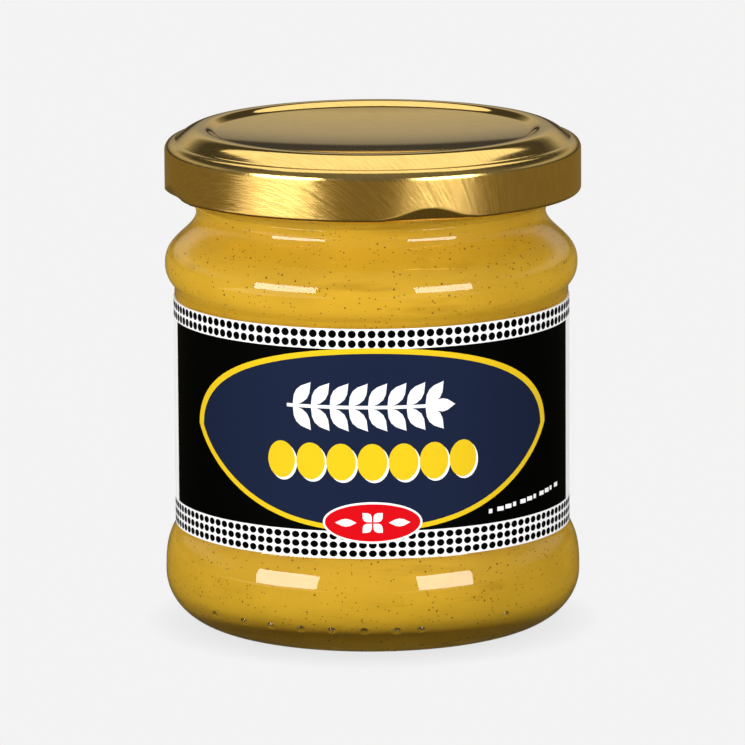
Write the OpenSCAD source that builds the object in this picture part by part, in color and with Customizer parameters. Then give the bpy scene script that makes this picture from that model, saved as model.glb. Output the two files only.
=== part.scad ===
// Squat jar of mustard: a waisted glass with two bulges, its filling, a wrap-round
// paper label on the band between the bulges, and a twist-off cap of lacquered tinplate.
// Millimetres. The jar stands on z = 0 and its axis is the Z axis. The label faces -Y.

/* [Glass] */
// Height of the glass, from the surface it stands on to its sealing rim
glass_h = 82.1; // [74:0.1:110]
// Diameter over the lower bulge
low_bulge_d = 69.1; // [67:0.1:84]
// Height of the widest ring of the lower bulge
low_bulge_z = 8.4; // [7:0.1:11]
// How far the upper bulge stays inside the lower one
up_bulge_inset = 0.2; // [0:0.05:1]
// Depth of the recessed band that carries the label, under the lower bulge
panel_depth = 1.8; // [0.6:0.1:3]
// Height from the lower bulge's widest ring to the recessed band
low_swell_h = 8.6; // [5:0.1:12]
// Height from the recessed band to the upper bulge's widest ring
up_swell_h = 4.35; // [3:0.05:8]
// Height from the upper bulge's widest ring to the neck groove
shoulder_h = 6.45; // [4:0.05:12]
// Depth of the neck groove, under the mouth's straight band
neck_inset = 2; // [1:0.1:3]
// Height of the neck groove up to the mould's parting line
neck_h = 2.3; // [1:0.1:6]
// Height from the parting line to the mouth's straight band
collar_h = 3.5; // [2:0.1:6]
// How far the neck steps out above the parting line
parting_step = 0.25; // [0.1:0.05:0.5]

/* [Glass wall and base] */
// Wall thickness along the body
wall_t = 2.2; // [1.6:0.1:3]
// Thickness of the glass at the mouth
rim_w = 3.7; // [2.6:0.1:5]
// Thickness of the bottom over the push-up
base_t = 3.4; // [2.4:0.1:5]
// Height of the push-up under the base
punt_h = 1.6; // [0.8:0.1:2.4]
// How far the flat ring that the jar stands on stays inside the lower bulge
foot_inset = 10.15; // [7:0.05:14]
// Width of the flat ring that the jar stands on
foot_w = 2.4; // [1.5:0.1:4]

/* [Threads] */
// Outer diameter of the mouth's straight band
finish_d = 62.8; // [52:0.1:66]
// Height of the mouth's straight band
finish_h = 8.4; // [7.6:0.1:11]
// How far the thread ridges stand proud of the mouth
thread_rise = 1.2; // [0.8:0.05:1.3]
// Width of a thread ridge's level underside, which a lug hooks under
thread_seat_w = 0.9; // [0.6:0.05:1]
// Height of a thread ridge
thread_h = 1.4; // [1:0.1:2]
// Angle that each thread ridge covers
thread_span = 62; // [40:1:75]

/* [Filling] */
// Air left between the filling and the rim
headspace = 4; // [3.6:0.1:12]

/* [Label] */
// Gap between the label's lower edge and the lower edge of the band
label_gap = 0.15; // [0.1:0.05:3]
// Gap between the label's upper edge and the upper edge of the band
label_top_gap = 1.85; // [0.1:0.05:4]
// Thickness of the paper
paper_t = 0.15; // [0.1:0.01:0.3]
// Angle over which the label's ends overlap, at the back
lap_angle = 14; // [6:1:30]

/* [Cap] */
// Gap between the thread ridges and the cap's skirt
cap_play = 1.75; // [1.5:0.05:3]
// How far the cap's skirt reaches below the mouth's straight band
skirt_reach = 0.8; // [0.4:0.1:1.5]
// Thickness of the tinplate
sheet_t = 0.2; // [0.16:0.02:0.5]
// Height of the raised ring above the rim
ring_rise = 1.3; // [1.2:0.05:2]
// Radius of the bend between the cap's top and its skirt
shoulder_r = 1.1; // [0.8:0.1:1.6]
// How far the outer channel lies below the raised ring
channel_drop = 2; // [1.8:0.1:2.2]
// Width of the channel's level rim, out to the cap's skirt
channel_w = 1.7; // [1.5:0.1:2.5]
// Width of the slope from the channel up to the raised ring
ring_slope_w = 3.85; // [3:0.05:5]
// Width of the raised ring's flat crest
crest_w = 1; // [0.5:0.1:2]
// Width of the step from the raised ring down to the sunk panel
disc_step_w = 2.1; // [1:0.1:4]
// How far the edge of the sunk panel lies below the raised ring
disc_drop = 0.8; // [0.4:0.1:1.2]
// How far the vacuum pulls the middle of the panel down
dish_drop = 1; // [0:0.1:1.3]
// Radius of the curled lower edge
curl_r = 0.55; // [0.4:0.05:0.8]
// Number of lugs that hook under the threads
lugs = 4; // [3:1:6]
// Width of each lug around the cap, as an angle
lug_angle = 25; // [15:1:30]
// Direction of the first lug, counted from +X
lug_turn = 17; // [0:1:89]
// How far the skirt is folded in above each lug
lug_fold_h = 2.7; // [2:0.1:3]

/* [Hidden] */
$fn = 96;

// Body and base
low_r = low_bulge_d / 2;
up_r = low_r - up_bulge_inset;
panel_r = low_r - panel_depth;
panel_z = low_bulge_z + low_swell_h;
foot_r = low_r - foot_inset;
floor_r = foot_r - foot_w;
floor_z = punt_h + base_t;
// How far the floor's edge lies below its middle
floor_crown = 0.65;
// Power of the curve that runs from a bulge to the recessed band
bulge_power = 3;

// Mouth, neck and shoulder, counted down from the rim
finish_r = finish_d / 2;
finish_z = glass_h - finish_h;
bore_r = finish_r - rim_w;
rim_round = 0.8;
neck_r = finish_r - neck_inset;
parting_z = finish_z - collar_h;
parting_slope_h = 0.15;
neck_z = parting_z - neck_h;
up_bulge_z = neck_z - shoulder_h;
panel_top = up_bulge_z - up_swell_h;
fill_z = glass_h - headspace;
// Power and share that blend the shoulder into the neck
shoulder_power = 2.4;
shoulder_blend = 0.5;

// Label
label_z = panel_z + label_gap;
label_h = panel_top - label_top_gap - label_z;

// Cap, from the skirt inwards
ridge_r = finish_r + thread_rise;
cap_r = ridge_r + cap_play + sheet_t;
channel_r = cap_r - channel_w;
crest_r = channel_r - ring_slope_w;
crest_in_r = crest_r - crest_w;
disc_r = crest_in_r - disc_step_w;
ring_z = glass_h + ring_rise;
channel_z = ring_z - channel_drop;
disc_z = ring_z - disc_drop;
dish_z = disc_z - dish_drop;
cap_z = finish_z - skirt_reach;
// The cap's sealing lining fills the raised ring down to the rim and laps over it
lining_lap = 0.3;
lining_r = finish_r + lining_lap;
// Each lug clears the mouth and the thread ridge above it by this much
lug_gap = 0.35;
lug_nose_h = 1.1;
lug_nose_r = finish_r + lug_gap;
lug_top = cap_z + curl_r + lug_nose_h;
thread_z = lug_top + lug_gap;
// The rest of the ridge's underside slants up, so that it clears the fold over the lug
thread_chamfer = thread_rise - thread_seat_w;
// The ridge's upper face falls by this much above and below its height
thread_fall = 0.4;
// The ridge's root is sunk this far into the mouth
thread_root = 0.4;
// The skirt's plain wall ends here and its lower edge, curled or folded, starts
edge_z = cap_z + curl_r + lug_fold_h;
// A tongue this high joins each folded lug to the plain wall above it
tongue_h = 0.6;
// The cutter for the folded stretches reaches this far past the edge
cut_over = 1;

// Points on an arc with its own radius along each axis, from angle a0 to a1
function arc(c, rx, rz, a0, a1, n) = [for (i = [0:n])
    let (a = a0 + (a1 - a0) * i / n) [c.x + rx * cos(a), c.y + rz * sin(a)]];

// From the widest ring at p towards q, leaving p upright and bending by the given power
function swell(p, q, power, n) = [for (i = [1:n])
    let (u = i / n) [p.x + (q.x - p.x) * pow(u, power), p.y + (q.y - p.y) * u]];

// From the widest ring at p up to the neck at q: convex first, then hollow
function shoulder(p, q, n) = [for (i = [1:n])
    let (u = i / n,
         s = (1 - shoulder_blend) * pow(u, shoulder_power)
             + shoulder_blend * (3 * u * u - 2 * u * u * u))
    [p.x + (q.x - p.x) * s, p.y + (q.y - p.y) * u]];

function reversed(points) = [for (i = [len(points) - 1:-1:0]) points[i]];

// A curve from p to q that starts and ends level
function ease(p, q, n) = [for (i = [1:n])
    let (u = i / n) [p.x + (q.x - p.x) * u, p.y + (q.y - p.y) * (3 * u * u - 2 * u * u * u)]];

// Body from the heel to the upper bulge; set_in moves the line inwards, off the heel
// and, by half as much, down from the upper bulge
function body_line(set_in, heel) = concat(
    heel,
    swell([low_r - set_in, low_bulge_z + set_in], [panel_r - set_in, panel_z + set_in], bulge_power, 8),
    reversed(swell([up_r - set_in, up_bulge_z - set_in / 2],
                   [panel_r - set_in, panel_top - set_in / 2], bulge_power, 8)),
    [[up_r - set_in, up_bulge_z - set_in / 2]]
);

outer_heel = arc([foot_r, low_bulge_z], low_r - foot_r, low_bulge_z, -90, 0, 12);
inner_heel = arc([floor_r, low_bulge_z + wall_t], low_r - wall_t - floor_r,
                 low_bulge_z + wall_t - floor_z + floor_crown, -90, 0, 12);

function glass_outside() = concat(
    [[0, punt_h]],
    reversed(arc([0, 0], floor_r, punt_h, 6, 84, 7)),
    [[floor_r, 0]],
    body_line(0, outer_heel),
    shoulder([up_r, up_bulge_z], [neck_r, neck_z], 12),
    [[neck_r, parting_z], [neck_r + parting_step, parting_z + parting_slope_h]],
    [[neck_r + parting_step, finish_z - neck_inset / 2]],
    [[finish_r, finish_z]],
    arc([finish_r - rim_round, glass_h - rim_round], rim_round, rim_round, 0, 90, 4)
);

function glass_inside(top) = concat(
    [[0, floor_z]],
    body_line(wall_t, inner_heel),
    shoulder([up_r - wall_t, up_bulge_z - wall_t / 2], [bore_r, neck_z], 12),
    [[bore_r, top]]
);

module thread_ridge() {
    rotate_extrude(angle = thread_span)
        polygon([
            [finish_r - thread_root, thread_z],
            [finish_r + thread_seat_w, thread_z],
            [ridge_r, thread_z + thread_chamfer],
            [ridge_r, thread_z + thread_h - thread_fall],
            [finish_r - thread_root, thread_z + thread_h + thread_fall]
        ]);
}

// Clear glass jar: push-up base, two bulges, neck groove, mouth and thread ridges
module jar() {
    color([0.86, 0.9, 0.88, 0.5]) {
        rotate_extrude()
            polygon(concat(glass_outside(), reversed(glass_inside(glass_h))));
        for (i = [0:lugs - 1])
            rotate([0, 0, lug_turn + i * 360 / lugs - lug_angle / 2])
                thread_ridge();
    }
}

// Mustard, filling the jar to just under the mouth
module mustard() {
    color([0.86, 0.67, 0.16])
        rotate_extrude()
            polygon(concat(glass_inside(fill_z), [[0, fill_z]]));
}

// Paper label wrapped round the recessed band, its ends overlapping at the back
module label() {
    color([0.1, 0.1, 0.12])
        translate([0, 0, label_z]) {
            rotate_extrude()
                translate([panel_r, 0])
                    square([paper_t, label_h]);
            rotate([0, 0, 90 - lap_angle / 2])
                rotate_extrude(angle = lap_angle)
                    translate([panel_r + paper_t / 2, 0])
                        square([paper_t * 1.5, label_h]);
        }
}

// Line of the cap's sheet from the middle to the lower edge; s = 0 outside, sheet_t inside
function cap_line(s) = concat(
    [for (i = [0:6])
        let (u = i / 6) [disc_r * u, dish_z + dish_drop * u * u - s]],
    ease([disc_r, disc_z - s], [crest_in_r, ring_z - s], 6),
    [for (i = [0:8])
        let (u = i / 8)
        [crest_r + (channel_r - crest_r) * u,
         channel_z + channel_drop * sin(90 * (1 - u)) - s]],
    arc([cap_r - shoulder_r, channel_z - shoulder_r], shoulder_r - s, shoulder_r - s, 90, 0, 6)
);

// The sheet's section, with the sealing lining in the raised ring and the curled edge
module cap_section() {
    polygon(concat(
        cap_line(0),
        [[cap_r, cap_z + curl_r], [cap_r - sheet_t, cap_z + curl_r]],
        reversed(cap_line(sheet_t))
    ));
    translate([cap_r - curl_r, cap_z + curl_r])
        circle(r = curl_r);
    intersection() {
        translate([crest_in_r, glass_h])
            square([lining_r - crest_in_r, ring_rise]);
        polygon(concat(cap_line(sheet_t / 2), [[0, cap_z]]));
    }
}

// Stretch of the lower edge that is folded in to make a lug
module lug_edge() {
    polygon([
        [cap_r, edge_z],
        [cap_r - sheet_t / 4, edge_z],
        [cap_r - sheet_t / 4, edge_z + tongue_h],
        [cap_r - sheet_t * 3 / 4, edge_z + tongue_h],
        [cap_r - sheet_t * 3 / 4, edge_z],
        [cap_r - sheet_t, edge_z],
        [lug_nose_r, lug_top],
        [lug_nose_r, cap_z + curl_r],
        [lug_nose_r + curl_r, cap_z],
        [cap_r - 2 * curl_r, cap_z],
        [cap_r - curl_r, cap_z + curl_r]
    ]);
}

// Twist-off cap: sunk panel, raised ring, outer channel, skirt, curl and lugs
module cap() {
    color([0.83, 0.66, 0.28]) {
        difference() {
            rotate_extrude()
                cap_section();
            for (i = [0:lugs - 1])
                rotate([0, 0, lug_turn + i * 360 / lugs - lug_angle / 2])
                    rotate_extrude(angle = lug_angle)
                        translate([cap_r - 3 * curl_r, cap_z - cut_over])
                            square([3 * curl_r + cut_over, edge_z - cap_z + cut_over]);
        }
        for (i = [0:lugs - 1])
            rotate([0, 0, lug_turn + i * 360 / lugs - lug_angle / 2])
                rotate_extrude(angle = lug_angle)
                    lug_edge();
    }
}

jar();
mustard();
label();
cap();
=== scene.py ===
import math

import bmesh
import bpy
from mathutils import Matrix, Vector


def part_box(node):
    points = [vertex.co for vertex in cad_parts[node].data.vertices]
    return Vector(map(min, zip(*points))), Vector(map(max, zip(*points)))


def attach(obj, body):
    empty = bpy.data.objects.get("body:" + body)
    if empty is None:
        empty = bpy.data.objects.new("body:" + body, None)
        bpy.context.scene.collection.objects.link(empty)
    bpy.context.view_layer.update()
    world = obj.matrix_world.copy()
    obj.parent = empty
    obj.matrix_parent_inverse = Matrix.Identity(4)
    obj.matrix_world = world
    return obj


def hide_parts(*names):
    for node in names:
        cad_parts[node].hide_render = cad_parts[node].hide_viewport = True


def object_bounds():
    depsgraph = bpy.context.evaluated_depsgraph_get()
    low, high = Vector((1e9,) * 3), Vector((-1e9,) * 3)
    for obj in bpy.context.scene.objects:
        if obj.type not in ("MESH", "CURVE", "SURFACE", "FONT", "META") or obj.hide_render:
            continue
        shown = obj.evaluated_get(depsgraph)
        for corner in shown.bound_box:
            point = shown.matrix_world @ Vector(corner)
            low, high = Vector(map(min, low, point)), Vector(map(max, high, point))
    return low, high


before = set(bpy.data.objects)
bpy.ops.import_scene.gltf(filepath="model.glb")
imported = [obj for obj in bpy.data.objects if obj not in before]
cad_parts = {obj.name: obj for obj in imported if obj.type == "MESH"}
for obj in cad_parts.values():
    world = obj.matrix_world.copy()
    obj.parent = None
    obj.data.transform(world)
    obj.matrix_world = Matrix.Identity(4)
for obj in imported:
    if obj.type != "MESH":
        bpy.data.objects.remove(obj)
cad_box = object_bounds()

mm = 0.001


# ---------------------------------------------------------------------------
# The glass. A jar of clear pressed glass with a pushed-up base, two bulges, a
# recessed band for the label and a neck groove. The mould leaves its parting
# line on the neck and a ring of small dots round the heel.
# ---------------------------------------------------------------------------

glass_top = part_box("jar")[1].z
low_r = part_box("jar")[1].x
up_r = low_r - 0.27 * mm
band_r = low_r - 1.8 * mm
wall = 2.2 * mm
foot_r = low_r - 10.15 * mm
floor_r = foot_r - 2.4 * mm
push_up = 1.6 * mm
low_bulge_z = 8.8 * mm
band_z = 17 * mm
mouth_r = 31.4 * mm
bore_r = 27.7 * mm
mouth_z = glass_top - 8.4 * mm
parting_z = mouth_z - 3.3 * mm
neck_r = 29.0 * mm
neck_z = parting_z - 1.0 * mm
up_bulge_z = glass_top - 21.3 * mm
band_top = glass_top - 25 * mm
floor_z = 5.2 * mm
inner_corner = 5.2 * mm


def bow(centre, half_w, half_h, start, end, steps):
    """Points on an ellipse about centre, as (radius, height), from angle start to end."""
    angles = [math.radians(start + (end - start) * i / steps) for i in range(steps + 1)]
    return [(centre[0] + half_w * math.cos(a), centre[1] + half_h * math.sin(a)) for a in angles]


def swell(wide, narrow, power, steps):
    """Points from a bulge's widest ring to the recessed band: upright at the bulge, then
    turning in, with a small fillet where the band begins."""
    turn_in = 0.93
    depth, slope = turn_in ** power, power * turn_in ** (power - 1)
    fillet = 2 * (1 - depth) / slope
    points = []
    for i in range(1, steps + 1):
        u = (turn_in + fillet) * i / steps
        if u < turn_in:
            share = u ** power
        else:
            t = (u - turn_in) / fillet
            share = depth + (1 - depth) * (2 * t - t * t)
        points.append((wide[0] + (narrow[0] - wide[0]) * share, wide[1] + (narrow[1] - wide[1]) * u))
    return points


def shoulder(wide, neck, steps):
    """Points from the upper bulge to the neck, upright at both ends and steep between."""
    bulge_ease, neck_ease = 2.07, 1.55
    points = []
    for i in range(1, steps + 1):
        u = i / steps
        share = u ** bulge_ease / (u ** bulge_ease + (1 - u) ** neck_ease)
        points.append((wide[0] + (neck[0] - wide[0]) * share, wide[1] + (neck[1] - wide[1]) * u))
    return points


def body_line(inset, heel):
    """The body from the heel to the upper bulge, moved inwards by inset."""
    low_bulge = (low_r - inset, low_bulge_z + inset)
    up_bulge = (up_r - inset, up_bulge_z - inset / 2)
    band_foot = (band_r - inset, band_z + inset)
    band_head = (band_r - inset, band_top - inset / 2)
    return (
        heel
        + swell(low_bulge, band_foot, power=3, steps=24)
        + swell(up_bulge, band_head, power=2.3, steps=20)[::-1]
        + [up_bulge]
    )


def inner_line(inset, top, grow=0.0):
    """The inside of the glass from the middle of the floor up to a height."""
    heel_z = low_bulge_z + inset
    heel = bow((low_r - inset - inner_corner, heel_z), inner_corner, heel_z - floor_z + grow, -90, 0, 24)
    return (
        [(0, floor_z - grow)]
        + body_line(inset, heel)
        + shoulder((up_r - inset, up_bulge_z - inset / 2), (bore_r + grow, neck_z), steps=24)
        + [(bore_r + grow, top)]
    )


def turned(name, outline, steps=192, sharp=40):
    """A closed outline of (radius, height) points, spun once round the Z axis."""
    weld = 0.002 * mm
    bpy.ops.object.select_all(action="DESELECT")
    bpy.ops.mesh.primitive_plane_add(size=1 * mm)
    piece = bpy.context.object
    piece.name = piece.data.name = name
    bpy.ops.object.mode_set(mode="EDIT")
    bpy.ops.mesh.merge(type="CENTER")
    bpy.ops.transform.translate(value=(outline[0][0], 0, outline[0][1]))
    ring = [*outline, outline[0]]
    for a, b in zip(ring, ring[1:]):
        bpy.ops.mesh.extrude_region_move(
            TRANSFORM_OT_translate={"value": (b[0] - a[0], 0, b[1] - a[1])})
    bpy.ops.mesh.select_all(action="SELECT")
    bpy.ops.mesh.remove_doubles(threshold=weld)
    bpy.ops.mesh.spin(steps=steps, angle=2 * math.pi, center=(0, 0, 0), axis=(0, 0, 1))
    bpy.ops.mesh.select_all(action="SELECT")
    bpy.ops.mesh.remove_doubles(threshold=weld)
    bpy.ops.mesh.normals_make_consistent(inside=False)
    bpy.ops.object.mode_set(mode="OBJECT")
    bpy.ops.object.shade_smooth_by_angle(angle=math.radians(sharp))
    return piece


def edit_points(piece):
    """Opens a piece alone in edit mode, with vertices to be picked."""
    bpy.ops.object.select_all(action="DESELECT")
    piece.select_set(True)
    bpy.context.view_layer.objects.active = piece
    bpy.ops.object.mode_set(mode="EDIT")
    bpy.ops.mesh.select_mode(type="VERT")


def pick(piece, test):
    """In edit mode, selects the vertices whose place passes the test."""
    mesh = bmesh.from_edit_mesh(piece.data)
    for vertex in mesh.verts:
        vertex.select_set(test(vertex.co))
    mesh.select_flush_mode()
    bmesh.update_edit_mesh(piece.data)


def node_material(name):
    """A new node material, its node tree and its Principled shader."""
    material = bpy.data.materials.new(name)
    material.use_nodes = True
    return material, material.node_tree, material.node_tree.nodes["Principled BSDF"]


def feed(tree, taker, sockets):
    """Gives each named socket of a node a value, or a link from another node's output."""
    for socket, value in sockets.items():
        if isinstance(value, bpy.types.NodeSocket):
            tree.links.new(value, taker.inputs[socket])
        else:
            taker.inputs[socket].default_value = value


def add_node(tree, kind, sockets, **settings):
    """Adds a shader node with its own settings and feeds its sockets."""
    added = tree.nodes.new("ShaderNode" + kind)
    for setting, value in settings.items():
        setattr(added, setting, value)
    feed(tree, added, sockets)
    return added


def finish_piece(piece, cad_node, material):
    """Gives a piece its material, hangs it on the root body and hides the CAD node it stands for."""
    piece.data.materials.clear()
    piece.data.materials.append(material)
    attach(piece, "root")
    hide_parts(cad_node)


# The neck flares a little to the parting line, where a bead and a ledge lead to the finish
flare_w, flare_h = 0.12 * mm, 0.35 * mm
parting = 0.25 * mm
bead = 0.2 * mm
bead_z = parting_z + 0.3 * mm
ledge_w, ledge_z = 0.3 * mm, parting_z + 1.0 * mm
finish_round, rim_round = 0.5 * mm, 0.8 * mm
outside = (
    [(0, push_up)]
    + bow((0, 0), floor_r, push_up, 84, 6, 14)
    + [(floor_r, 0)]
    + body_line(0, bow((foot_r, low_bulge_z), low_r - foot_r, low_bulge_z, -90, 0, 32))
    + shoulder((up_r, up_bulge_z), (neck_r, neck_z), steps=28)
    + [(neck_r + flare_w, parting_z - flare_h)]
    + bow((neck_r + parting, bead_z), bead, bead, -110, 60, 5)
    + [(neck_r + parting + ledge_w, ledge_z)]
    + bow((mouth_r - finish_round, mouth_z), finish_round, finish_round, -60, 0, 4)
    + bow((mouth_r - rim_round, glass_top - rim_round), rim_round, rim_round, 0, 90, 6)
)
glass = turned("glass_jar", outside + inner_line(wall, glass_top)[::-1], sharp=35)

# The ring of mould dots round the heel, each a low round bump: its turn in degrees and its
# height. The far half of the ring repeats the near half
heel_dots = [
    (-50.2, 5.5), (-38.8, 5.3), (-29.8, 5.2), (-20.6, 5.2), (-11.6, 5.2),
    (-2.5, 5.2), (6.6, 5.2), (13.4, 5.2), (39.7, 6.2)]
heel_dots += [(turn + 180, height) for turn, height in heel_dots]
spots = []
for turn, height in heel_dots:
    turn, height = math.radians(turn), height * mm
    spot_r = foot_r + (low_r - foot_r) * math.sqrt(1 - (1 - height / low_bulge_z) ** 2)
    spots.append(Vector((spot_r * math.sin(turn), -spot_r * math.cos(turn), height)))
heel_low, heel_high, heel_in = 3 * mm, 8 * mm, foot_r + 7 * mm


def near_a_spot(reach):
    """A test for the outer vertices of the heel within reach of a mould dot."""
    def test(co):
        on_heel = heel_low < co.z < heel_high and math.hypot(co.x, co.y) > heel_in
        return on_heel and min((co - spot).length for spot in spots) < reach
    return test


finer_within = (2.0 * mm, 1.1 * mm)
rises = ((0.64 * mm, 0.11 * mm), (0.52 * mm, 0.10 * mm), (0.40 * mm, 0.08 * mm), (0.26 * mm, 0.06 * mm))
edit_points(glass)
for reach in finer_within:
    pick(glass, near_a_spot(reach))
    bpy.ops.mesh.subdivide(number_cuts=2, smoothness=0)
for reach, rise in rises:
    pick(glass, near_a_spot(reach))
    bpy.ops.transform.shrink_fatten(value=rise)
bpy.ops.object.mode_set(mode="OBJECT")

# The wall is slightly wavy. Shadows pass through it, dimmed a little
clear_glass, tree, shader = node_material("clear_glass")
place = add_node(tree, "TexCoord", {})
wave = add_node(tree, "TexNoise", {"Vector": place.outputs["Object"], "Scale": 55, "Detail": 1.5})
wavy = add_node(tree, "Bump", {"Height": wave.outputs["Fac"], "Strength": 0.35, "Distance": 0.25 * mm})
feed(tree, shader, {
    "Base Color": (0.98, 0.985, 0.975, 1), "Roughness": 0.0, "IOR": 1.52,
    "Transmission Weight": 1.0, "Normal": wavy.outputs["Normal"]})
through = add_node(tree, "BsdfTransparent", {"Color": (0.97, 0.975, 0.965, 1)})
ray = add_node(tree, "LightPath", {})
both = add_node(tree, "MixShader", {
    0: ray.outputs["Is Shadow Ray"], 1: shader.outputs[0], 2: through.outputs[0]})
feed(tree, tree.nodes["Material Output"], {"Surface": both.outputs[0]})
finish_piece(glass, "jar", clear_glass)


# ---------------------------------------------------------------------------
# The mustard. A smooth wet paste that fills the glass to just under the rim. It
# touches the wall all over, so it reaches a hair into the glass. Crushed seed
# husks show as fine dark specks, and the filling leaves faint smears.
# ---------------------------------------------------------------------------

paste_grow = 0.12 * mm
fill_z = glass_top - 4 * mm
paste_dark, paste_light = (0.74, 0.445, 0.026, 1), (0.83, 0.505, 0.034, 1)
smear_brown = (0.66, 0.38, 0.02, 1)
husk_brown, fine_husk_brown = (0.18, 0.08, 0.007, 1), (0.38, 0.19, 0.013, 1)

paste_line = inner_line(wall - paste_grow, fill_z, paste_grow) + [(0, fill_z)]
paste = turned("mustard_paste", paste_line, sharp=60)

mustard, tree, shader = node_material("mustard_paste")
place = add_node(tree, "TexCoord", {})


def remap(tree, value, low, high, new_low=0.0, new_high=1.0):
    """Spreads a value's stretch from low to high over another one, and stops at its ends."""
    spread = add_node(tree, "MapRange", {
        "Value": value, "From Min": low, "From Max": high, "To Min": new_low, "To Max": new_high})
    return spread.outputs[0]


def blend(tree, factor, under, over):
    """Mixes two colours, each an output or a plain colour, by a factor."""
    mix = add_node(tree, "Mix", {"Factor": factor, "A": under, "B": over}, data_type="RGBA")
    return mix.outputs["Result"]


def paste_noise(scale, detail, stretch=(1, 1, 1), turn=(0, 0, 0)):
    """Noise in the paste, stretched where a turn and a scale are given."""
    laid = add_node(tree, "Mapping", {
        "Vector": place.outputs["Object"], "Scale": stretch, "Rotation": turn})
    noise = add_node(tree, "TexNoise", {"Vector": laid.outputs[0], "Scale": scale, "Detail": detail})
    return noise.outputs["Fac"]


def paste_specks(scale, rare, radius):
    """A mask of round specks: most cells of a random pattern hold none, the rest hold one
    each, of its own size."""
    spread, soft_edge = 0.3, 0.3 * radius
    cells = add_node(tree, "TexVoronoi", {"Vector": place.outputs["Object"], "Scale": scale})
    chance = add_node(tree, "SeparateColor", {0: cells.outputs["Color"]})
    reach = remap(tree, chance.outputs[0], rare, rare + spread, 0, radius)
    inside = add_node(tree, "Math", {0: reach, 1: cells.outputs["Distance"]}, operation="SUBTRACT")
    return remap(tree, inside.outputs[0], 0, soft_edge)


clouds = remap(tree, paste_noise(70, 4, stretch=(1, 1, 2.2), turn=(0, 0.35, 0.2)), 0.35, 0.7)
smears = remap(tree, paste_noise(60, 5, stretch=(1, 1, 7), turn=(0.5, 0.3, 0.4)), 0.60, 0.74)
husks = paste_specks(scale=780, rare=0.30, radius=0.145)
fine_husks = paste_specks(scale=1250, rare=0.15, radius=0.19)
colour = blend(tree, clouds, paste_dark, paste_light)
colour = blend(tree, smears, colour, smear_brown)
colour = blend(tree, husks, colour, husk_brown)
colour = blend(tree, fine_husks, colour, fine_husk_brown)
lumpy = add_node(tree, "Bump", {"Height": paste_noise(400, 3), "Strength": 0.3, "Distance": 0.2 * mm})
feed(tree, shader, {
    "Base Color": colour, "Roughness": 0.55, "Specular IOR Level": 0.05, "Normal": lumpy.outputs["Normal"]})
finish_piece(paste, "mustard", mustard)


# ---------------------------------------------------------------------------
# The label. One strip of coated white paper, wrapped round the recessed band of
# the glass and glued where its ends overlap at the back. The ink lies on the
# paper: a black field, rows of dots, an oval and a few plain shapes.
# ---------------------------------------------------------------------------

label_low, label_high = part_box("label")[0].z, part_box("label")[1].z
paper_t = 0.15 * mm
paper_r = band_r + paper_t
ink_t = 0.012 * mm
score_gap = 1.2 * mm
lap_t = 1.2 * paper_t
fibre_scale = 900
fibre_smooth, fibre_dull = 0.42, 0.58

# The paper's fibre: a height for its surface and a value for how dull it is
fibre = bpy.data.node_groups.new("paper_fibre", "ShaderNodeTree")
fibre.interface.new_socket("Scale", in_out="INPUT", socket_type="NodeSocketFloat")
fibre.interface.new_socket("Height", in_out="OUTPUT", socket_type="NodeSocketFloat")
fibre.interface.new_socket("Gloss", in_out="OUTPUT", socket_type="NodeSocketFloat")
fibre_in = fibre.nodes.new("NodeGroupInput")
fibre_place = add_node(fibre, "TexCoord", {})
fibre_noise = add_node(fibre, "TexNoise", {
    "Vector": fibre_place.outputs["Object"], "Scale": fibre_in.outputs["Scale"], "Detail": 4})
feed(fibre, fibre.nodes.new("NodeGroupOutput"), {
    "Height": fibre_noise.outputs["Fac"],
    "Gloss": remap(fibre, fibre_noise.outputs["Fac"], 0, 1, fibre_smooth, fibre_dull)})


def printed(name, colour, specular):
    """Paper or ink of one colour, with the paper's fibre in its gloss and surface."""
    material, tree, shader = node_material(name)
    grain = tree.nodes.new("ShaderNodeGroup")
    grain.node_tree = fibre
    feed(tree, grain, {"Scale": fibre_scale})
    rough = add_node(tree, "Bump", {
        "Height": grain.outputs["Height"], "Strength": 0.12, "Distance": 0.05 * mm})
    feed(tree, shader, {
        "Base Color": (*colour, 1), "Specular IOR Level": specular,
        "Roughness": grain.outputs["Gloss"], "Normal": rough.outputs["Normal"]})
    return material


white_paper = printed("white_paper", (0.84, 0.84, 0.85), 0.12)
black_ink = printed("black_ink", (0.0006, 0.0008, 0.0006), 0.012)
navy_ink = printed("navy_ink", (0.0088, 0.0145, 0.039), 0.012)
yellow_ink = printed("yellow_ink", (0.70, 0.475, 0.010), 0.03)
red_ink = printed("red_ink", (0.57, 0.0022, 0.006), 0.03)
white_ink = printed("white_ink", (0.85, 0.85, 0.86), 0.08)


def settle(shape):
    """Puts the place, turn and size of all that is selected into its mesh."""
    bpy.ops.object.transform_apply(location=True, rotation=True, scale=True)
    return shape


def flat_round(centre, half_w, half_h, sides):
    """A filled round shape, drawn flat: X runs along the label and Y up it."""
    bpy.ops.object.select_all(action="DESELECT")
    bpy.ops.mesh.primitive_circle_add(vertices=sides, radius=1, fill_type="NGON", location=(*centre, 0))
    bpy.context.object.scale = (half_w, half_h, 1)
    return settle(bpy.context.object)


def flat_bar(left, right, low, high):
    """A filled bar, drawn flat."""
    bpy.ops.object.select_all(action="DESELECT")
    bpy.ops.mesh.primitive_plane_add(size=2, location=((left + right) / 2, (low + high) / 2, 0))
    bpy.context.object.scale = ((right - left) / 2, (high - low) / 2, 1)
    return settle(bpy.context.object)


def scores(left, right):
    """Places from left to right where a print is scored, so that it bends."""
    count = round((right - left) / score_gap)
    return [left + (right - left) * i / count for i in range(1, count)]


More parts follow.
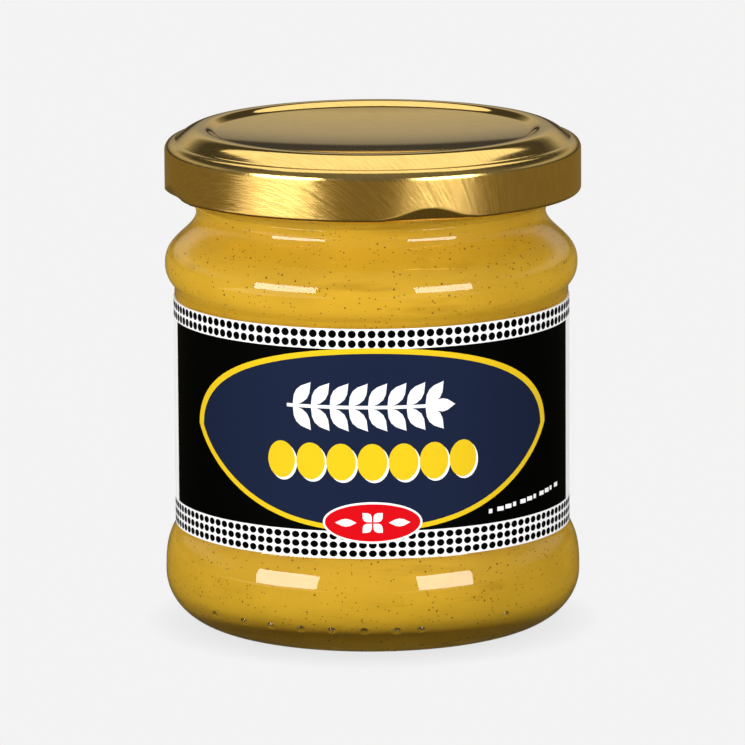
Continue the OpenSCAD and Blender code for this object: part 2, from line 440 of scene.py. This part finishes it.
def wrapped(name, shapes, level, thickness, cuts, material):
    """Joins flat shapes, scores them, gives them their thickness and wraps them round the
    paper at a level above it."""
    bpy.ops.object.select_all(action="DESELECT")
    for shape in shapes:
        shape.select_set(True)
    bpy.context.view_layer.objects.active = shapes[0]
    if len(shapes) > 1:
        bpy.ops.object.join()
    piece = bpy.context.object
    piece.name = piece.data.name = name
    bpy.ops.object.mode_set(mode="EDIT")
    for cut in cuts:
        bpy.ops.mesh.select_all(action="SELECT")
        bpy.ops.mesh.bisect(plane_co=(cut, 0, 0), plane_no=(1, 0, 0))
    bpy.ops.mesh.select_all(action="SELECT")
    bpy.ops.transform.translate(value=(0, 0, level))
    bpy.ops.object.mode_set(mode="OBJECT")
    solid = piece.modifiers.new("Solid", "SOLIDIFY")
    solid.thickness = thickness
    solid.offset = -1
    bpy.ops.object.modifier_apply(modifier="Solid")
    piece.rotation_euler = (math.pi / 2, 0, 0)
    settle(piece)
    along = [v.co.x for v in piece.data.vertices]
    bend = piece.modifiers.new("Wrap", "SIMPLE_DEFORM")
    bend.deform_method = "BEND"
    bend.deform_axis = "Z"
    bend.angle = (max(along) - min(along)) / paper_r
    bpy.ops.object.modifier_apply(modifier="Wrap")
    piece.location = (0, -paper_r, 0)
    settle(piece)
    finish_piece(piece, "label", material)


def inked(name, shapes, layer, cuts, ink):
    """Prints flat shapes in one ink. A higher layer lies over a lower one."""
    wrapped(name, shapes, layer * ink_t, 2 * ink_t, cuts, ink)


sleeve = turned("paper_sleeve", [
    (band_r, label_low), (paper_r, label_low), (paper_r, label_high), (band_r, label_high)])
finish_piece(sleeve, "label", white_paper)

lap_half = math.radians(7) * paper_r
lap_mid = math.pi * paper_r
lap_left, lap_right = lap_mid - lap_half, lap_mid + lap_half
wrapped("paper_lap", [flat_bar(lap_left, lap_right, label_low, label_high)],
        paper_t, lap_t, scores(lap_left, lap_right), white_paper)

# The black field covers the front, between the two dotted bands
top_band, low_band = 3.35 * mm, 4.55 * mm
field_half = math.radians(77.6) * paper_r
field_low, field_high = label_low + low_band, label_high - top_band
inked("black_field", [flat_bar(-field_half, field_half, field_low, field_high)],
      1, scores(-field_half, field_half), black_ink)

# Dots all round, two rows over the field and three under it. None lies across the edge of
# the overlap
dots_round = 128
dot_pitch = 2 * math.pi * paper_r / dots_round
dot_half_w = 0.68 * mm
top_rows = (label_high - top_band / 2, 2, 1.6 * mm, 0.66 * mm)
low_rows = (label_low + low_band / 2, 3, 1.42 * mm, 0.575 * mm)
band_places, lap_places = [], []
for middle, rows, row_gap, half_h in (top_rows, low_rows):
    for row in range(rows):
        z = middle + (row - (rows - 1) / 2) * row_gap
        for i in range(dots_round):
            s = i * dot_pitch - lap_mid
            from_seam = lap_mid - abs(s)
            if from_seam > lap_half + dot_half_w:
                band_places.append((s, z, half_h))
            elif from_seam < lap_half - dot_half_w:
                lap_places.append((s if s > 0 else s + 2 * lap_mid, z, half_h))


def dot_rows(name, places, level):
    """Copies one dot to each place and wraps them round the paper."""
    dot = flat_round((0, 0), dot_half_w, 1, sides=12)
    dots = []
    for s, z, half_h in places:
        copy = dot.copy()
        copy.data = dot.data.copy()
        bpy.context.collection.objects.link(copy)
        copy.location = (s, z, 0)
        copy.scale = (1, half_h, 1)
        dots.append(copy)
    bpy.data.objects.remove(dot)
    bpy.ops.object.select_all(action="DESELECT")
    for copy in dots:
        copy.select_set(True)
    bpy.context.view_layer.objects.active = dots[0]
    settle(dots[0])
    wrapped(name, dots, level, 2 * ink_t, [], black_ink)


dot_rows("band_dots", band_places, ink_t)
dot_rows("lap_dots", lap_places, paper_t + ink_t)


def draw_rows(shape, axis, size_at):
    """Resizes a flat shape row by row about its middle line, each row by its place on the axis."""
    near = 0.001 * mm
    edit_points(shape)
    for row in sorted({round(v.co[axis], 7) for v in shape.data.vertices}):
        pick(shape, lambda co: abs(co[axis] - row) < near)
        centre = [0, 0, 0]
        centre[axis] = row
        bpy.ops.transform.resize(value=size_at(row), center_override=centre)
    bpy.ops.object.mode_set(mode="OBJECT")
    return shape


def egg(half_w, half_h, middle):
    """A filled oval whose lower half draws in a little."""
    draw_in = 0.11

    def size_at(row):
        lean = math.asin(max(-1.0, min(0.0, row / half_h)))
        return (1 - draw_in * abs(math.sin(2 * lean)), 1, 1)

    shape = draw_rows(flat_round((0, 0), half_w, half_h, sides=128), 1, size_at)
    shape.location = (0, middle, 0)
    return settle(shape)


oval_w, oval_h, oval_z = 34.2 * mm, 15.25 * mm, 36.85 * mm
rim_side, rim_end, rim_drop = 1.35 * mm, 0.85 * mm, 0.05 * mm
cuts = scores(-oval_w, oval_w)
inked("oval_rim", [egg(oval_w, oval_h, oval_z)], 2, cuts, yellow_ink)
inked("oval_field", [egg(oval_w - rim_side, oval_h - rim_end, oval_z - rim_drop)], 3, cuts, navy_ink)


def leaf(centre, length, width, turn):
    """A pointed leaf: a round whose ends are drawn to points."""
    fullness, least = 2.2, 0.01

    def size_at(column):
        return (1, max(1 - abs(column / (length / 2)) ** fullness, least), 1)

    shape = draw_rows(flat_round((0, 0), length / 2, width / 2, sides=16), 0, size_at)
    shape.rotation_euler = (0, 0, turn)
    shape.location = (*centre, 0)
    return settle(shape)


# A white sprig of leaves
sprig_z, sprig_half, sprig_shift = 42.3 * mm, 12.6 * mm, -1.7 * mm
stem_half = 0.28 * mm
leaf_pairs = 8
leaf_l, leaf_w = 5.2 * mm, 2.3 * mm
leaf_out, leaf_up, leaf_turn = 1.5 * mm, 1.95 * mm, math.radians(52)
tip_l, tip_w, tip_out = 4.6 * mm, 2.2 * mm, 0.8 * mm
sprig_left, sprig_right = sprig_shift - sprig_half, sprig_shift + sprig_half
sprig = [flat_bar(sprig_left, sprig_right, sprig_z - stem_half, sprig_z + stem_half)]
for i in range(leaf_pairs):
    s = sprig_left + (i + 0.35) * 2 * sprig_half / leaf_pairs + leaf_out
    for side in (-1, 1):
        sprig.append(leaf((s, sprig_z + side * leaf_up), leaf_l, leaf_w, side * leaf_turn))
sprig.append(leaf((sprig_right + tip_out, sprig_z), tip_l, tip_w, 0))
inked("white_sprig", sprig, 4, scores(-sprig_half - 4 * mm, sprig_half + 4 * mm), white_ink)

# Under it a row of yellow seeds, each with a white shade
seeds_z, seeds_half = 33.2 * mm, 17.8 * mm
seed_count = 7
seed_w = 2.45 * mm
seed_h = seed_w * 1.25
shade_off = 0.35 * mm
seeds, shades = [], []
for i in range(seed_count):
    s = -seeds_half + seed_w + i * (2 * seeds_half - 2 * seed_w) / (seed_count - 1)
    seeds.append(flat_round((s, seeds_z), seed_w, seed_h, sides=40))
    shades.append(flat_round((s + shade_off, seeds_z - shade_off), seed_w, seed_h, sides=40))
cuts = scores(-seeds_half - 1 * mm, seeds_half + 1 * mm)
inked("seed_shades", shades, 4, cuts, white_ink)
inked("yellow_seeds", seeds, 5, cuts, yellow_ink)

# A red plate with a white rim and a small four-petalled flower between two leaves
plate_z, plate_w, plate_h = 23.15 * mm, 8.2 * mm, 3.45 * mm
plate_rim = 0.35 * mm
petal_l, petal_w, petal_out = 2.2 * mm, 1.5 * mm, 1.25 * mm
side_l, side_w, side_out = 3.6 * mm, 1.3 * mm, 4.4 * mm
cuts = scores(-plate_w, plate_w)
inked("plate_rim", [flat_round((0, plate_z), plate_w, plate_h, sides=72)], 4, cuts, white_ink)
inked("red_plate", [flat_round((0, plate_z), plate_w - plate_rim, plate_h - plate_rim, sides=72)],
      5, cuts, red_ink)
flower = []
for i in range(4):
    a = math.pi / 4 + i * math.pi / 2
    middle = (petal_out * math.cos(a), plate_z + petal_out * math.sin(a))
    flower.append(leaf(middle, petal_l, petal_w, a))
for side in (-1, 1):
    flower.append(leaf((side * side_out, plate_z), side_l, side_w, 0))
inked("white_flower", flower, 6, cuts, white_ink)

# A line of short white dashes at the lower right, which climbs a little
dashes_left, dashes_z = 20.3 * mm, 23.7 * mm
dash_count = 11
dash_pitch, dash_climb, dash_half = 1.75 * mm, 0.16 * mm, 0.36 * mm
long_dash, short_dash = 1.35 * mm, 0.7 * mm
dashes = []
for i in range(dash_count):
    s, z = dashes_left + i * dash_pitch, dashes_z + i * dash_climb
    dashes.append(flat_bar(s, s + (long_dash if i % 3 else short_dash), z - dash_half, z + dash_half))
inked("white_dashes", dashes, 2, [], white_ink)


# ---------------------------------------------------------------------------
# The cap. A twist-off cap drawn from gold-lacquered tinplate: a sunk panel that
# the vacuum pulls down, a raised ring, a channel and a straight skirt with a
# curled edge. Four stretches of the edge are folded in to make the lugs.
# ---------------------------------------------------------------------------

cap_low, cap_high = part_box("cap")[0].z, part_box("cap")[1].z
cap_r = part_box("cap")[1].x
sheet = 0.2 * mm
curl_r = 0.55 * mm
bend_r = 1.6 * mm
cap_slide = 0.35 * mm
slope_h = 2 * mm
channel_r = cap_r - 1.7 * mm
channel_z = cap_high - slope_h
crest_r = channel_r - 3.85 * mm
crest_in_r = crest_r - 1 * mm
panel_r = crest_in_r - 2.1 * mm
panel_z = cap_high - 0.8 * mm
dish = 1.25 * mm
skirt_top = channel_z - bend_r
edge_z = cap_low + curl_r
skirt_steps = 24


def cap_line(inset):
    """The sheet from the middle of the panel to the top of the skirt, inset from its face."""
    panel_steps, rise_steps, slope_steps = 20, 10, 16
    line = []
    for i in range(panel_steps + 1):
        u = i / panel_steps
        line.append((panel_r * u, panel_z - dish + dish * u ** 2 - inset))
    for i in range(1, rise_steps + 1):
        u = i / rise_steps
        line.append((panel_r + (crest_in_r - panel_r) * u,
                     panel_z + (cap_high - panel_z) * (3 * u * u - 2 * u ** 3) - inset))
    for i in range(slope_steps + 1):
        u = i / slope_steps
        line.append((crest_r + (channel_r - crest_r) * u,
                     channel_z + slope_h * math.sin(math.pi / 2 * (1 - u)) - inset))
    return line + bow((cap_r - bend_r, skirt_top), bend_r - inset, bend_r - inset, 90, 0, 12)


skirt = [skirt_top + (edge_z - skirt_top) * i / skirt_steps for i in range(1, skirt_steps + 1)]
outer = cap_line(0) + [(cap_r, z) for z in skirt]
inner = cap_line(sheet) + [(cap_r - sheet, z) for z in skirt[:-3]]
curl = bow((cap_r - curl_r, edge_z), curl_r, curl_r, -15, -285, 14)
cap = turned("cap", outer + curl + inner[::-1], steps=288, sharp=50)

# The lugs: under an arch, the skirt slants in to the thread
lug_turn, lug_half = 15.4, 12.5
arch_h = 1.6 * mm
slant = 0.5


def off_lug(co):
    """Degrees round the axis from the nearest lug's middle."""
    turn = (math.degrees(math.atan2(co.y, co.x)) - lug_turn) % 90
    return min(turn, 90 - turn)


# The skirt's points at one height and one turn from a lug's middle are drawn in together
level_h = 0.02 * mm
edit_points(cap)
mesh = bmesh.from_edit_mesh(cap.data)
levels = {}
for vertex in mesh.verts:
    off = off_lug(vertex.co)
    arch = edge_z + arch_h * 0.5 * (1 + math.cos(math.pi * min(1, off / lug_half)))
    in_skirt = math.hypot(vertex.co.x, vertex.co.y) > cap_r - 3 * curl_r
    if off < lug_half and in_skirt and vertex.co.z < arch:
        levels.setdefault((round(off, 2), round(vertex.co.z / level_h)), []).append((vertex, arch))
for level in levels.values():
    bpy.ops.mesh.select_all(action="DESELECT")
    for vertex, arch in level:
        vertex.select_set(True)
    mesh.select_flush_mode()
    first, arch = level[0]
    shrink = 1 - slant * (arch - first.co.z) / cap_r
    bpy.ops.transform.resize(value=(shrink, shrink, 1), center_override=(0, 0, 0))
bpy.ops.mesh.select_all(action="SELECT")
bpy.ops.mesh.normals_make_consistent(inside=False)
bpy.ops.transform.translate(value=(cap_slide, 0, 0))
bpy.ops.object.mode_set(mode="OBJECT")
bpy.ops.object.shade_smooth_by_angle(angle=math.radians(50))

# Where a point of the cap lay in the flat sheet: its way down the skirt counts outwards
gold, tree, shader = node_material("gold_tinplate")
place = add_node(tree, "TexCoord", {})
height = add_node(tree, "SeparateXYZ", {0: place.outputs["Object"]})
drop = add_node(tree, "Math", {0: channel_z, 1: height.outputs["Z"]}, operation="SUBTRACT")
down = add_node(tree, "Math", {0: drop.outputs[0], 1: 0}, operation="MAXIMUM")
from_above = add_node(tree, "VectorMath", {0: place.outputs["Object"], 1: (1, 1, 0)}, operation="MULTIPLY")
outwards = add_node(tree, "VectorMath", {0: from_above.outputs[0]}, operation="NORMALIZE")
slide = add_node(tree, "VectorMath", {0: outwards.outputs[0], "Scale": down.outputs[0]}, operation="SCALE")
blank = add_node(tree, "VectorMath", {0: from_above.outputs[0], 1: slide.outputs[0]}, operation="ADD")


def rolled_grain(along, across):
    """Streaks in the sheet: long along the rolling direction and fine across it."""
    laid = add_node(tree, "Mapping", {
        "Vector": blank.outputs[0], "Rotation": (0, 0, math.radians(-40)), "Scale": (along, across, 1)},
        vector_type="TEXTURE")
    noise = add_node(tree, "TexNoise", {"Vector": laid.outputs[0], "Scale": 1, "Detail": 3})
    return noise.outputs["Fac"]


streaks = rolled_grain(3.2 * mm, 0.26 * mm)
gold_dark, gold_light = (0.78, 0.535, 0.16, 1), (0.90, 0.63, 0.215, 1)
colour = blend(tree, remap(tree, streaks, 0.36, 0.64), gold_dark, gold_light)

# The sunk panel stays as smooth as the sheet was rolled, the drawn rim and skirt are scuffed
panel_scuff = 0.08
smooth = 0.035
from_axis = add_node(tree, "VectorMath", {0: from_above.outputs[0]}, operation="LENGTH")
drawn = remap(tree, from_axis.outputs["Value"], crest_r, cap_r - 0.5 * mm, panel_scuff, 1)
scuff = add_node(tree, "Math", {0: streaks, 1: drawn}, operation="MULTIPLY")
scratched = add_node(tree, "Bump", {"Height": scuff.outputs[0], "Strength": 0.6, "Distance": 0.022 * mm})
dull = remap(tree, rolled_grain(9 * mm, 0.6 * mm), 0.3, 0.7, 0.09, 0.17)
roughness = add_node(tree, "Math", {0: dull, 1: drawn, 2: smooth}, operation="MULTIPLY_ADD")
feed(tree, shader, {
    "Base Color": colour, "Metallic": 1.0, "Specular Tint": (1.0, 0.92, 0.70, 1),
    "Roughness": roughness.outputs[0], "Normal": scratched.outputs["Normal"]})
finish_piece(cap, "cap", gold)


# ---------------------------------------------------------------------------
# The table. A pale top that glows evenly, with only a faint contact shadow
# painted into its glow. To the glass and the tinplate it shows a painted
# reflection, a dark table with a paler edge, and its glow throws light up at the
# filling only from beyond the jar's own shadow, which is painted out of it.
# ---------------------------------------------------------------------------

pale = 0.896
# How far the painted contact shadow reaches and how deep it goes
shadow_reach, shadow_depth = 7 * mm, 0.14
# The painted reflection: dark near the jar and paler far off, then how far out the bounce glow is painted
# dark
mirror_near, mirror_far = 0.12, 0.36
mirror_dark, mirror_light = (0.085, 0.07, 0.035, 1), (0.21, 0.165, 0.075, 1)
dark_within, lit_beyond = 0.032, 0.052

bpy.ops.object.select_all(action="DESELECT")
bpy.ops.mesh.primitive_circle_add(vertices=64, radius=8, fill_type="NGON")
table = bpy.context.object
table.name = "table"
table_top, tree, shader = node_material("table_top")
tree.nodes.remove(shader)
place = add_node(tree, "TexCoord", {})
away = add_node(tree, "VectorMath", {0: place.outputs["Object"]}, operation="LENGTH")
seen_by = add_node(tree, "LightPath", {})
# A contact shadow painted into the glow by ambient occlusion
contact = add_node(tree, "AmbientOcclusion", {"Distance": shadow_reach}, samples=8)
shadowed = remap(tree, contact.outputs["AO"], 0, 1, pale * (1 - shadow_depth), pale)
# Painted reflection: to reflected and refracted rays the top glows dark near the jar and paler far off
fade = remap(tree, away.outputs["Value"], mirror_near, mirror_far)
mirrored = blend(tree, fade, mirror_dark, mirror_light)
direct = blend(tree, seen_by.outputs["Is Camera Ray"], mirrored, shadowed)
# Painted shadow: rays that bounced off a surface see the glow only beyond the jar's own shadow
bounced = add_node(tree, "Math", {0: seen_by.outputs["Diffuse Depth"], 1: 0.5}, operation="GREATER_THAN")
thrown = remap(tree, away.outputs["Value"], dark_within, lit_beyond)
lit = blend(tree, bounced.outputs[0], direct, thrown)
glow = add_node(tree, "Emission", {"Color": lit})
feed(tree, tree.nodes["Material Output"], {"Surface": glow.outputs[0]})
table.data.materials.append(table_top)


# ---------------------------------------------------------------------------
# The room. It is pale behind the jar and dim all round in reflections, with a
# lit backdrop behind the jar that stands on a dark edge.
# ---------------------------------------------------------------------------

scene = bpy.context.scene
scene.view_settings.view_transform = "Standard"
scene.cycles.transparent_max_bounces = 16
world = bpy.data.worlds.new("room")
scene.world = world
world.use_nodes = True
tree = world.node_tree
room_tint = (1, 0.98, 0.96)
place = add_node(tree, "TexCoord", {})
towards = add_node(tree, "SeparateXYZ", {0: place.outputs["Generated"]})


def room_light(stops):
    """Room light by height: each stop gives the Z of a direction and the light there."""
    ramp = add_node(tree, "ValToRGB", {"Fac": remap(tree, towards.outputs["Z"], -1, 1)})
    elements = ramp.color_ramp.elements
    while len(elements) < len(stops):
        elements.new(0.5)
    for element, (height, light) in zip(elements, stops):
        element.position = (1 + height) / 2
        element.color = (*(light * part for part in room_tint), 1)
    return ramp.outputs["Color"]


front_light = room_light(((-0.02, 0.05), (0.04, 0.14), (0.5, 0.16), (1.0, 0.2)))
back_light = room_light((
    (-0.02, 0.05), (0.095, 0.05), (0.11, 0.24), (0.19, 0.42),
    (0.31, 0.54), (0.39, 0.2), (0.46, 0.06), (1.0, 0.06)))
behind = remap(tree, towards.outputs["Y"], -0.2, 0.2)
around = blend(tree, behind, front_light, back_light)
seen_by = add_node(tree, "LightPath", {})
colour = blend(tree, seen_by.outputs["Is Camera Ray"], around, (pale, pale, pale, 1))
feed(tree, tree.nodes["Background"], {"Color": colour})


# ---------------------------------------------------------------------------
# The lamps. Two upright soft boxes stand in front, left and right, a big one
# hangs overhead, and two cards lie low in front of the table. What is mirrored
# and what lights the surfaces are separate lamps, so that each can be set.
# ---------------------------------------------------------------------------

jar_middle = Vector((0, 0, (cad_box[0].z + cad_box[1].z) / 2))
box_distance = 1.0
card_near, card_far, card_z = 0.22, 0.75, 2 * mm
warm_white, overhead_white = (1, 0.98, 0.94), (1, 0.97, 0.92)
daylight, card_gold = (1, 0.99, 0.97), (1, 0.93, 0.78)


def area_lamp(name, size, radiance, tint, mirrored):
    """A flat lamp of a size in metres. It is either seen in reflections or lights surfaces."""
    bpy.ops.object.light_add(type="AREA")
    lamp = bpy.context.object
    lamp.name = name
    lamp.data.shape = "RECTANGLE"
    lamp.data.size, lamp.data.size_y = size
    lamp.data.energy = radiance * math.pi * size[0] * size[1]
    lamp.data.color = tint
    lamp.visible_camera = False
    lamp.visible_diffuse = not mirrored
    lamp.visible_glossy = mirrored
    lamp.visible_transmission = False
    return lamp


def soft_box(name, azimuth, elevation, size, radiance, tint, mirrored):
    """A soft box that faces the jar."""
    lamp = area_lamp(name, size, radiance, tint, mirrored)
    azimuth, elevation = math.radians(azimuth), math.radians(elevation)
    away = Vector((math.sin(azimuth) * math.cos(elevation),
                   -math.cos(azimuth) * math.cos(elevation),
                   math.sin(elevation)))
    lamp.location = jar_middle + away * box_distance
    lamp.rotation_euler = away.to_track_quat("Z", "Y").to_euler()


def low_card(name, azimuth, width, radiance):
    """A card that lies in front of the jar and faces up, seen only in the tinplate."""
    card = area_lamp(name, (width, card_far - card_near), radiance, card_gold, True)
    turn, middle = math.radians(azimuth), (card_near + card_far) / 2
    card.location = (math.sin(turn) * middle, -math.cos(turn) * middle, card_z)
    card.rotation_euler = (math.pi, 0, turn)


# Turn and height in degrees, width and height in metres, then the light
soft_box("box_left_seen", -48.5, 7.5, (0.66, 0.37), 9.5, warm_white, True)
soft_box("box_right_seen", 40.2, 7.5, (0.575, 0.37), 9.0, warm_white, True)
soft_box("box_top_seen", 0, 112, (1.1, 0.85), 1.25, overhead_white, True)
soft_box("box_left", -40, 4, (0.7, 0.7), 6.9, daylight, False)
soft_box("box_right", 40, 4, (0.7, 0.7), 4.8, daylight, False)
soft_box("box_behind", 180, 20, (1.4, 0.8), 2.6, daylight, False)
soft_box("box_top", 0, 60, (1.2, 1.2), 0.9, daylight, False)
low_card("card_left", -55, 0.33, 1.02)
low_card("card_right", 33, 0.28, 0.46)


# ---------------------------------------------------------------------------
# The camera. A long lens stands over a metre away and looks a little down on
# the jar, rolled by a hair.
# ---------------------------------------------------------------------------

aim = jar_middle + Vector((0.11, 0, 0.13)) * mm
camera_distance = 1300 * mm
camera_pitch = math.radians(10.8)
camera_roll = math.radians(-0.317)
looking_from = Vector((0, -math.cos(camera_pitch), math.sin(camera_pitch)))
bpy.ops.object.camera_add()
camera = bpy.context.object
camera.data.sensor_width = 36
camera.data.lens = 376.9
camera.data.clip_start = 0.05
camera.matrix_world = (
    Matrix.Translation(aim + camera_distance * looking_from)
    @ Matrix.Rotation(math.pi / 2 - camera_pitch, 4, "X")
    @ Matrix.Rotation(camera_roll, 4, "Z")
)
scene.camera = camera
